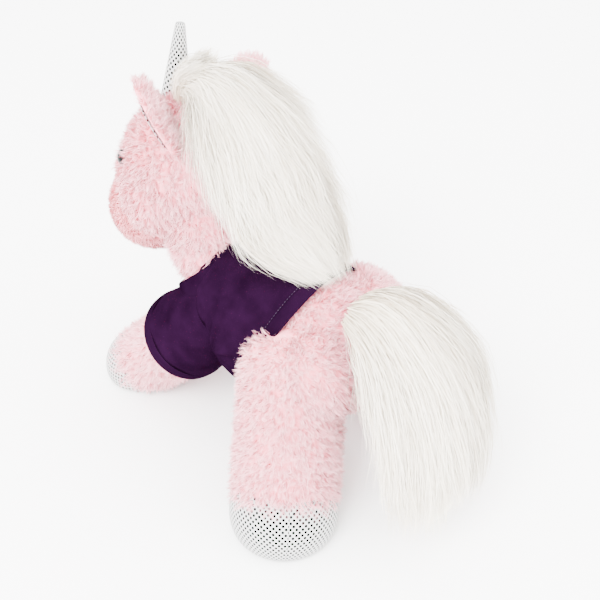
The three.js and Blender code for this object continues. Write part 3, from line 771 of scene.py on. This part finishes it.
# %% Ears
for word, side in (("left", 1), ("right", -1)):
    facing = math.radians(45)
    tip_lean = math.radians(34)
    across = Vector((math.cos(facing) * side, math.sin(facing), 0))
    up = Vector((math.sin(tip_lean) * side, 0, math.cos(tip_lean)))
    up = (up - across * up.dot(across)).normalized()
    front = Vector((math.sin(facing) * side, -math.cos(facing), 0))
    front = (front - up * front.dot(up)).normalized()
    root = Vector((42 * side, 16, 84))
    parts = []
    for k in range(12):
        t = k / 11
        half = (0.34 + 0.16 * math.sin(min(t * 2.2, 1.57)) - 0.4 * max(0, t - 0.45) ** 1.3) * 46
        turned = HEAD_TURN.to_matrix() @ Matrix((across, up, front)).transposed()
        parts.append(ball(on_head(root + up * (3 + 52 * t)), (half, 7, 4.2),
                          frame_matrix=turned.to_4x4(), segments=20))
    leaf = one_skin(f"ear_{word}_padding", parts, 1.8, 6)
    finish_piece(leaf, BACKING, "ear_" + word, [f"ear_{word}_back"])
    ahead = np.array(HEAD_TURN.to_matrix() @ front)
    upward = np.array(HEAD_TURN.to_matrix() @ up)
    fur = pile(f"ear_{word}_fur", leaf, 0.3, PILE, lambda p, n: np.tile(upward, (len(p), 1)),
               lambda p, n: n @ ahead < 0.45, seed=21 + side)
    finish_piece(fur, PLUSH, "ear_" + word)
    turned = (HEAD_TURN.to_matrix() @ Matrix((across, up, front)).transposed()).to_4x4()
    lining = ball(on_head(root + up * 27 + front * 4.6), (15.5, 25, 1.4), frame_matrix=turned, segments=40)
    lining.name = lining.data.name = f"ear_{word}_foil_lining"
    bpy.ops.object.shade_smooth()
    layer = lining.data.uv_layers.new(name="Weave")
    lining.data.uv_layers.active = layer
    a_dir, u_dir = turned.col[0].xyz, turned.col[1].xyz
    for loop in lining.data.loops:
        p = lining.data.vertices[loop.vertex_index].co
        layer.data[loop.index].uv = (p.dot(a_dir) / MM, p.dot(u_dir) / MM)
    finish_piece(lining, FOIL, "ear_" + word, [f"ear_{word}_lining"])

# %% [markdown]
# ## Shirt
# The shirt is jersey cut as a short tube round the barrel, with two set-in sleeves, a wide neckband and a
# turned hem. The cloth is stretched over the chest and gathers into soft folds that fan out from the
# armpits.

# %% Shirt
def fold_height(theta, s, side):
    """Height of the folds in millimetres: ridges that fan from an armpit towards the spine."""
    armpit = np.stack([np.full_like(theta, 1.95), np.full_like(s, 0.42)], -1)
    d_theta = (np.abs(theta) - armpit[..., 0]) * 66
    d_s = (s - armpit[..., 1]) * 118
    bearing = np.arctan2(-d_theta, d_s)
    distance = np.hypot(d_theta, d_s)
    ridges = np.sin(bearing * 9 + 1.2 * side) + 0.6 * np.sin(bearing * 17 + 2)
    fade = np.exp(-((distance - 34) / 36) ** 2)
    return ridges * fade * 1.5


def surface_grid(name, points, closed=True):
    """A mesh from a grid of points (rows, columns, 3), with the columns joined into a ring."""
    rows, cols, _ = points.shape
    faces = []
    for i in range(rows - 1):
        for j in range(cols if closed else cols - 1):
            k = (j + 1) % cols
            faces.append((i * cols + j, i * cols + k, (i + 1) * cols + k, (i + 1) * cols + j))
    mesh = bpy.data.meshes.new(name)
    mesh.from_pydata([tuple(p) for p in points.reshape(-1, 3)], [], faces)
    o = bpy.data.objects.new(name, mesh)
    bpy.context.scene.collection.objects.link(o)
    bpy.ops.object.select_all(action="DESELECT")
    o.select_set(True)
    bpy.context.view_layer.objects.active = o
    bpy.ops.object.shade_smooth()
    return o


ROWS, COLS = (70, 150)
theta = np.linspace(-np.pi, np.pi, COLS, endpoint=False)
share = np.linspace(0, 1, ROWS)
T, S = np.meshgrid(theta, share)
# theta is 0 at the spine; share is 0 at the neck and 1 at the hem
front_axis = np.array(at((0, -80, 138)))
back_axis = np.array(at((0, 4, 116)))
mid = front_axis + (back_axis - front_axis) * S[..., None]
radius = value_at([46, 57, 63, 66, 67, 67.5, 68], S)
slant = np.cos(T) * np.tan(HEM_TILT) * 0.9 * S**1.5
ring = mid + np.stack([np.sin(T) * radius, slant * radius, np.cos(T) * radius * 0.98], -1) * MM
outward = np.stack([np.sin(T), np.zeros_like(T), np.cos(T)], -1)
ring = ring + outward * (fold_height(T, S, np.sign(T)) + 0.8 * np.sin(T * 5 + S * 7) * S)[..., None] * MM
shirt = surface_grid("jersey_shirt_body", ring)
# The paper pattern: a band 0.31 m round at the neck edge and 0.43 m at the hem, in straight-sided panels.
apply(shirt, "SOLIDIFY", thickness=1.2 * MM, offset=0)
apply(shirt, "SUBSURF", levels=1, render_levels=1)
finish_piece(shirt, JERSEY, "torso", ["shirt_back", "shirt_front"])

roll = np.linspace(0, np.pi, 7)[:, None, None]
hem_points = ring[-1][None] + (ring[-1] - ring[-8])[None] * (np.linspace(-0.9, 0.12, 7)[:, None, None])
hem_points = hem_points + outward[-1][None] * (1.3 + 0.5 * np.sin(roll)) * MM
hem = surface_grid("jersey_hem", hem_points)
apply(hem, "SOLIDIFY", thickness=1.2 * MM, offset=0)
apply(hem, "SUBSURF", levels=1, render_levels=1)
finish_piece(hem, JERSEY, "torso", ["shirt_hem"])

# %% [markdown]
# A hem is held by a row of short stitches. One stitch is a small closed diamond of eight faces, laid end
# to end.

# %% Stitch rows
STITCHES = material("purple_polyester_thread", "#1c0b24", 0.6)[0]


def stitch_row(name, ring_points, body):
    """A closed row of short stitches on the cloth, about 3 mm each, along a ring of points in metres."""
    p = np.asarray(ring_points)
    nxt = np.roll(p, -1, 0)
    middle, run = (p + nxt) / 2, (nxt - p) * 0.33
    up = unit(middle - middle.mean(0)) * 0.35 * MM
    out = unit(np.cross(run, up)) * 0.35 * MM
    corners = np.stack([middle - run, middle + run, middle + up, middle - up, middle + out, middle - out], 1)
    faces = [(0, 2, 4), (2, 1, 4), (1, 3, 4), (3, 0, 4), (2, 0, 5), (1, 2, 5), (3, 1, 5), (0, 3, 5)]
    mesh = bpy.data.meshes.new(name)
    mesh.from_pydata([tuple(c) for c in corners.reshape(-1, 3)], [],
                     [tuple(6 * k + i for i in f) for k in range(len(p)) for f in faces])
    o = bpy.data.objects.new(name, mesh)
    bpy.context.scene.collection.objects.link(o)
    print(f"{name}: {len(p)} stitches")
    return finish_piece(o, STITCHES, body)


hem_row = stitch_row("hem_stitches", ring[-8] + outward[-8] * 1.0 * MM, "torso")

# %% [markdown]
# The neckband is ribbed cloth, thicker than the shirt, folded double and sewn round the neck edge.

# %% Neckband
band_points = []
neck_dir = (at((0, -104, 178)) - at((0, -70, 144))).normalized()
neck_side = Vector((1, 0, 0))
neck_up = neck_side.cross(neck_dir) * -1
for along, r in ((-19, 50.5), (-15, 51.6), (-11, 51.4), (-5, 50), (1, 48), (4, 47), (5, 45.6)):
    centre = at((0, -84, 153)) + neck_dir * (along * MM)
    band_points.append([centre + (neck_side * math.sin(a) + neck_up * math.cos(a)) * (r * MM) for a in theta])
collar = surface_grid("jersey_neckband", np.array(band_points))
apply(collar, "SOLIDIFY", thickness=2.2 * MM, offset=0)
apply(collar, "SUBSURF", levels=1, render_levels=1)
finish_piece(collar, RIB, "torso", ["shirt_collar"])

# %% [markdown]
# A sleeve is a tube of jersey that slides on the leg, with a turned cuff. It rides the leg, because it
# moves with it.

# %% Sleeves
# The paper pattern of a sleeve: a strip 0.25 m round and 0.076 m from the shoulder to the cuff.
for word, side in (("left", 1), ("right", -1)):
    leg = LEGS["front_" + word]
    top, foot = at(leg["hip"]), at(leg["sole"])
    axis = (foot - top).normalized()
    length = (foot - top).length
    ref = (Vector((0, 0, 1)) - axis * axis.z).normalized()
    other = axis.cross(ref)
    rows = []
    for i, t in enumerate(np.linspace(-0.16, 0.33, 28)):
        r = np.interp(t, [-0.16, 0, 0.2, 0.3, 0.36], [30, 38, 41, 41, 40.5])
        line = []
        for a in np.linspace(0, 2 * np.pi, 96, endpoint=False):
            fold = 0.9 * math.sin(a * 3 + t * 14) + 0.7 * math.sin(a * 7 - t * 22)
            fold *= 1 - abs(t - 0.18) * 1.6
            outwards = ref * math.cos(a) + other * math.sin(a)
            line.append(top + axis * (length * t) + outwards * ((r + fold) * MM))
        rows.append(line)
    sleeve = surface_grid(f"jersey_sleeve_{word}", np.array(rows))
    apply(sleeve, "SOLIDIFY", thickness=1.2 * MM, offset=0)
    apply(sleeve, "SUBSURF", levels=1, render_levels=1)
    cuff_rows = []
    turned_cuff = ((0.255, 0.9), (0.265, 1.5), (0.285, 1.7), (0.31, 1.6), (0.333, 1.6), (0.343, 0.8),
                   (0.342, -0.6))
    for t, grow in turned_cuff:
        r = np.interp(t, [0.28, 0.36, 0.4], [41, 40.5, 40.3]) + grow
        cuff_rows.append([top + axis * (length * t) + (ref * math.cos(a) + other * math.sin(a)) * (r * MM)
                          for a in np.linspace(0, 2 * np.pi, 96, endpoint=False)])
    cuff = surface_grid(f"jersey_cuff_{word}", np.array(cuff_rows))
    apply(cuff, "SOLIDIFY", thickness=1.2 * MM, offset=0)
    apply(cuff, "SUBSURF", levels=1, render_levels=1)
    for o, nodes in ((sleeve, [f"sleeve_{word}"]), (cuff, [f"sleeve_cuff_{word}"])):
        finish_piece(o, JERSEY, f"front_{word}_leg", nodes)

# %% [markdown]
# ## Mane and tail
# The long hair is sewn on in a strip along the top of the head and the back of the neck, and in a tuft at
# the rump. It falls under its own weight, so each lock follows the fall line and gathers at its tip.

# %% Mane
MANE = dict(path=[(-20, -138, 280), (-24, -120, 302), (-26, -98, 298), (-24, -70, 274), (-22, -46, 242),
                  (-18, -18, 212), (-12, 26, 186)],
            widths=[14, 26, 40, 50, 52, 46, 18], depths=[8, 14, 24, 30, 30, 18, 5])
MANE_BEND = ("neck", at((-20, -44, 238)), at((-24, -96, 292)))
mane_base = hair_base("mane_backing", MANE["path"], MANE["widths"], MANE["depths"], 0.66)
finish_piece(mane_base, HAIR_BASE, "head", ["mane", "forelock"], MANE_BEND)
for k in range(2):
    piece = hair(f"mane_hair_{k + 1}", MANE["path"], MANE["widths"], MANE["depths"], 560, 22,
                 length=(0.28, 0.5),
                 start=(0.0, 0.62), seed=31 + k, inner=0.62, wave=6, blade=0.8, fray=24, rise=(0.68, 1.28))
    finish_piece(piece, HAIR, "head", bend=MANE_BEND)
tuft = dict(path=[(-18, -130, 276), (-20, -132, 300), (-23, -124, 318), (-26, -110, 328)],
            widths=[12, 20, 20, 8], depths=[6, 11, 12, 6])
piece = hair("forelock_hair", tuft["path"], tuft["widths"], tuft["depths"], 90, 22,
             length=(0.6, 1.0), start=(0, 0.2),
             seed=37, inner=0.1, wave=3, fray=12)
finish_piece(piece, HAIR, "head")
drape = dict(path=[(-16, -52, 250), (-15, -28, 222), (-13, 0, 202), (-10, 34, 180)],
             widths=[44, 52, 44, 16], depths=[14, 16, 10, 4])
piece = hair("mane_drape_hair", drape["path"], drape["widths"], drape["depths"], 220, 26,
             length=(0.7, 1.0), start=(0, 0.2),
             seed=35, inner=0.1, wave=3, fray=10)
finish_piece(piece, HAIR, "neck", ["mane_drape"])

# %% [markdown]
# The tail is the same hair as the mane, in longer locks, sewn on by a tab at the rump.

# %% Tail
TAIL = dict(path=[(-2, 60, 168), (-2, 94, 172), (2, 132, 136), (16, 160, 74), (28, 172, 14)],
            widths=[24, 46, 58, 56, 40], depths=[14, 24, 28, 26, 14])
tail_base = hair_base("tail_backing", TAIL["path"], TAIL["widths"], TAIL["depths"], 0.7)
finish_piece(tail_base, HAIR_BASE, "tail", ["tail_hair", "tail_tab"])
for k in range(2):
    piece = hair(f"tail_hair_{k + 1}", TAIL["path"], TAIL["widths"], TAIL["depths"], 480, 22,
                 length=(0.4, 0.62),
                 start=(0.0, 0.42), seed=41 + k, inner=0.6, wave=6, gather=0.42, fray=20, rise=(0.72, 1.2))
    finish_piece(piece, HAIR, "tail")

# %% [markdown]
# ## Studio
# A pale floor that fades to white, two large soft lamps and a bright even surround, as for a catalogue
# picture.

# %% Floor, light and camera
bpy.ops.mesh.primitive_plane_add(size=8)
floor = bpy.context.object
floor.name = "floor"
floor.data.transform(Matrix.Translation((0, 0, -0.0005)))
floor.data.materials.append(material("white_studio_floor", "#ffffff", 0.9)[0])
world = bpy.data.worlds.new("studio")
bpy.context.scene.world = world
world.use_nodes = True
world.node_tree.nodes["Background"].inputs["Color"].default_value = (1, 1, 1, 1)
world.node_tree.nodes["Background"].inputs["Strength"].default_value = 7.5


def lamp(name, place, aim, size, power):
    data = bpy.data.lights.new(name, "AREA")
    data.size, data.energy = size, power
    o = bpy.data.objects.new(name, data)
    o.location = place
    o.rotation_euler = (Vector(aim) - Vector(place)).to_track_quat("-Z", "Y").to_euler()
    bpy.context.scene.collection.objects.link(o)


lamp("key", (1.6, 0.2, 1.9), (0, 0, 0.15), 1.2, 180)
lamp("fill", (-0.6, 1.9, 1.5), (0, 0, 0.15), 1.4, 60)

az, el, away = math.radians(129), math.radians(40), 0.85
target = Vector((0, 0.0134, 0.150))
back = Vector((math.sin(az) * math.cos(el), -math.cos(az) * math.cos(el), math.sin(el)))
camera = bpy.data.objects.new("camera", bpy.data.cameras.new("camera"))
camera.data.lens = 59.5
camera.location = target + back * away
camera.rotation_euler = (-back).to_track_quat("-Z", "Y").to_euler()
bpy.context.scene.collection.objects.link(camera)
bpy.context.scene.camera = camera

LOOKS_AND_CAD = (("safety_eye_left", "eye_left"), ("safety_eye_right", "eye_right"),
                 ("ear_left_padding", "ear_left_back"), ("ear_right_padding", "ear_right_back"),
                 ("foil_horn", "horn_skin"), ("tail_backing", "tail_hair"))
for piece, cad in LOOKS_AND_CAD:
    corners = np.array([v.co for v in bpy.data.objects[piece].data.vertices])
    middle = (corners.min(0) + corners.max(0)) / 2
    apart = np.linalg.norm(middle - np.array(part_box(cad)).mean(0)) / MM
    print(f"{piece}: its middle is {apart:.0f} mm from the middle of {cad}")
